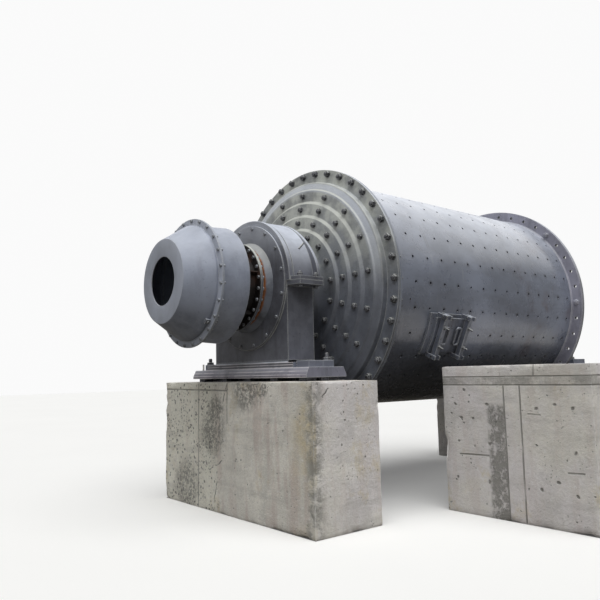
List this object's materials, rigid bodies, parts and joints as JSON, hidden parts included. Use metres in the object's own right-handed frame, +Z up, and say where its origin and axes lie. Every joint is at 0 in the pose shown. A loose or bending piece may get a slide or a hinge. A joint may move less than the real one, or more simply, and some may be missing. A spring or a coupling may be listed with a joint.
{
  "type": "ball mill",
  "caption": "Grinding mill: a bolted cylindrical drum on two trunnion bearings with a drum feeder, on concrete piers.",
  "frame": {"origin": "on the ground under the centre of the feed bearing, in the middle plane of the mill", "axes": "+X along the drum axis from feed to discharge, +Z up, -Y towards the drive foundation"},
  "size_m": [6.934, 4.6248, 3.99],
  "materials": {
    "shell_paint": "satin blue-grey paint",
    "head_paint": "satin blue-grey paint on a rough casting, dusty",
    "bearing_paint": "satin blue-grey paint",
    "feeder_paint": "satin blue-grey paint",
    "sole_plate_paint": "dull grey paint over machined steel",
    "rusty_collar": "rust with remains of grey paint",
    "dark_interior": "dark unpainted steel",
    "bare_steel": "bare steel",
    "concrete": "board-marked concrete"
  },
  "bodies": {
    "foundation": {"feed_bearing_base": "bearing_paint", "discharge_bearing_base": "bearing_paint", "feed_bearing_bush": "bare_steel", "discharge_bearing_bush": "bare_steel", "feed_bearing_cap": "bearing_paint", "discharge_bearing_cap": "bearing_paint", "feed_outer_cover": "bearing_paint", "discharge_outer_cover": "bearing_paint", "feed_inner_cover": "bearing_paint", "discharge_inner_cover": "bearing_paint", "feed_seal_collar": "rusty_collar", "discharge_seal_collar": "rusty_collar", "feed_sole_plate": "sole_plate_paint", "discharge_sole_plate": "sole_plate_paint", "feed_shim_packs": "bare_steel", "discharge_shim_packs": "bare_steel", "feed_pier": "concrete", "discharge_pier": "concrete", "drive_foundation": "concrete"},
    "drum": {"shell_plate_1": "shell_paint", "shell_plate_2": "shell_paint", "shell_plate_3": "shell_paint", "shell_plate_4": "shell_paint", "shell_plate_5": "shell_paint", "shell_plate_6": "shell_paint", "shell_plate_7": "shell_paint", "shell_plate_8": "shell_paint", "shell_plate_9": "shell_paint", "shell_plate_10": "shell_paint", "feed_shell_flange": "shell_paint", "gear_flange": "shell_paint", "feed_head": "head_paint", "discharge_head": "head_paint", "feed_trunnion_liner": "dark_interior", "discharge_trunnion_liner": "dark_interior", "feeder_mouth_ring": "feeder_paint", "feeder_cone": "feeder_paint", "feeder_drum": "feeder_paint", "feeder_neck": "dark_interior", "manhole_frame": "shell_paint", "manhole_cover": "shell_paint", "manhole_clamp_bars": "shell_paint"}
  },
  "joints": [
    {"name": "drum_spin", "type": "hinge", "parent": "foundation", "child": "drum", "pos_m": [0, 0, 2.46], "axis": [1, 0, 0], "continuous": true}
  ]
}
